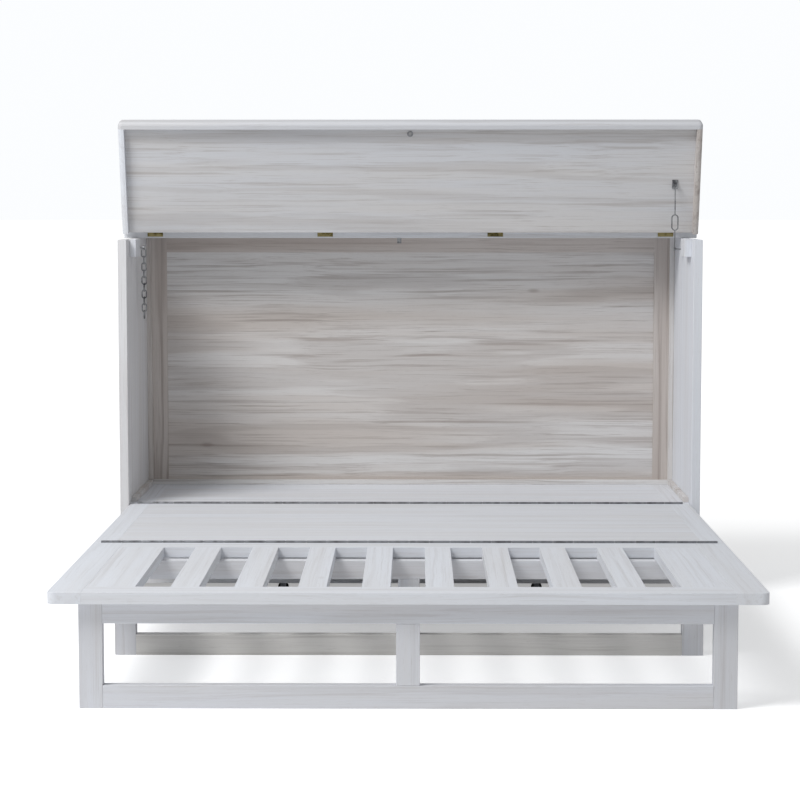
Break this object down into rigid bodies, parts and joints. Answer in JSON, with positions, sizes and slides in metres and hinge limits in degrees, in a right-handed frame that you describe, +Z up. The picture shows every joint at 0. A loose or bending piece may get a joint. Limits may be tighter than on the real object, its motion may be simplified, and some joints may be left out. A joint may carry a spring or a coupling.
{
  "type": "fold-out cabinet bed",
  "caption": "Upright wooden cabinet, lid raised, with a low platform folded out on piano hinges: a solid panel, then a slatted panel on folding leg frames.",
  "frame": {"origin": "on the floor, under the middle of the opened object's box", "axes": "+Z up, +Y from the platform's front edge towards the cabinet's back, +X to the right seen from the platform"},
  "size_m": [1.63, 1.8816, 1.3115],
  "materials": {
    "whitewashed_wood": "whitewashed, matt",
    "back_wood": "whitewashed, matt",
    "brass": "satin",
    "steel": "satin",
    "black_plastic": "matt"
  },
  "bodies": {
    "cabinet": {"back_field": "back_wood", "back_frame": "back_wood", "base_rails": "whitewashed_wood", "caster_axles": "steel", "caster_brackets": "steel", "corner_cleats": "back_wood", "fixed_top": "whitewashed_wood", "floor_bearers": "whitewashed_wood", "floor_cleats": "whitewashed_wood", "floor_ends": "whitewashed_wood", "floor_hinge_leaf_floor": "steel", "floor_hinge_pin": "steel", "floor_panel": "whitewashed_wood", "front_apron": "whitewashed_wood", "keeper_hook": "steel", "lid_hinge_fixed_leaves": "brass", "lid_hinge_pins": "brass", "side_left": "whitewashed_wood", "side_right": "whitewashed_wood", "stay_brackets": "steel", "stop_blocks": "whitewashed_wood"},
    "lid": {"lid_panel": "whitewashed_wood", "lid_rim_front": "whitewashed_wood", "lid_rim_left": "whitewashed_wood", "lid_rim_right": "whitewashed_wood", "lid_hinge_moving_leaves": "brass", "lid_plates": "steel"},
    "lid_stay": {"lid_stay": "steel"},
    "wall_chain": {"wall_chain": "steel"},
    "caster_wheel_front_left": {"caster_wheel_front_left": "black_plastic"},
    "caster_wheel_front_right": {"caster_wheel_front_right": "black_plastic"},
    "caster_wheel_rear_left": {"caster_wheel_rear_left": "black_plastic"},
    "caster_wheel_rear_right": {"caster_wheel_rear_right": "black_plastic"},
    "solid_panel": {"solid_panel": "whitewashed_wood", "solid_panel_end_left": "whitewashed_wood", "solid_panel_end_right": "whitewashed_wood", "floor_hinge_leaf_panel": "steel", "fold_hinge_leaf_solid": "steel", "fold_hinge_pin": "steel"},
    "slatted_panel": {"slatted_end_left": "whitewashed_wood", "slatted_end_right": "whitewashed_wood", "slatted_rail_front": "whitewashed_wood", "slatted_rail_rear": "whitewashed_wood", "slatted_slats": "whitewashed_wood", "fold_hinge_leaf_slatted": "steel", "leg_hinge_fixed_leaves": "steel", "leg_hinge_pins": "steel"},
    "front_legs": {"front_legs_hinge_leaves": "steel", "front_legs_post_left": "whitewashed_wood", "front_legs_post_middle": "whitewashed_wood", "front_legs_post_right": "whitewashed_wood", "front_legs_rail_bottom": "whitewashed_wood", "front_legs_rail_top": "whitewashed_wood"},
    "rear_legs": {"rear_legs_hinge_leaves": "steel", "rear_legs_post_left": "whitewashed_wood", "rear_legs_post_middle": "whitewashed_wood", "rear_legs_post_right": "whitewashed_wood", "rear_legs_rail_bottom": "whitewashed_wood", "rear_legs_rail_top": "whitewashed_wood"}
  },
  "joints": [
    {"name": "lid_hinge", "type": "hinge", "parent": "cabinet", "child": "lid", "pos_m": [0, 0.76375, 0.9994], "axis": [1, 0, 0], "range_deg": [0, 75]},
    {"name": "stay_hinge", "type": "hinge", "parent": "lid", "child": "lid_stay", "pos_m": [0.745, 0.70092, 1.12957], "axis": [1, 0, 0], "range_deg": [-75, 0]},
    {"name": "floor_hinge", "type": "hinge", "parent": "cabinet", "child": "solid_panel", "pos_m": [0, 0.48825, 0.2575], "axis": [-1, 0, 0], "range_deg": [0, 90]},
    {"name": "fold_hinge", "type": "hinge", "parent": "solid_panel", "child": "slatted_panel", "pos_m": [0, -0.22975, 0.2575], "axis": [-1, 0, 0], "range_deg": [0, 180]},
    {"name": "front_leg_hinge", "type": "hinge", "parent": "slatted_panel", "child": "front_legs", "pos_m": [0, -0.88455, 0.2266], "axis": [1, 0, 0], "range_deg": [0, 90]},
    {"name": "rear_leg_hinge", "type": "hinge", "parent": "slatted_panel", "child": "rear_legs", "pos_m": [0, -0.34495, 0.2266], "axis": [-1, 0, 0], "range_deg": [0, 90]},
    {"name": "chain_swing", "type": "hinge", "parent": "cabinet", "child": "wall_chain", "pos_m": [-0.75, 0.68875, 0.954], "axis": [1, 0, 0], "range_deg": [-25, 25]},
    {"name": "caster_wheel_front_left_spin", "type": "hinge", "parent": "cabinet", "child": "caster_wheel_front_left", "pos_m": [-0.352, 0.54075, 0.015], "axis": [0, 1, 0], "continuous": true},
    {"name": "caster_wheel_front_right_spin", "type": "hinge", "parent": "cabinet", "child": "caster_wheel_front_right", "pos_m": [0.352, 0.54075, 0.015], "axis": [0, 1, 0], "continuous": true},
    {"name": "caster_wheel_rear_left_spin", "type": "hinge", "parent": "cabinet", "child": "caster_wheel_rear_left", "pos_m": [-0.352, 0.88175, 0.015], "axis": [0, 1, 0], "continuous": true},
    {"name": "caster_wheel_rear_right_spin", "type": "hinge", "parent": "cabinet", "child": "caster_wheel_rear_right", "pos_m": [0.352, 0.88175, 0.015], "axis": [0, 1, 0], "continuous": true}
  ],
  "couplings": [
    {"joint": "stay_hinge", "follows": "lid_hinge", "ratio": -1}
  ]
}
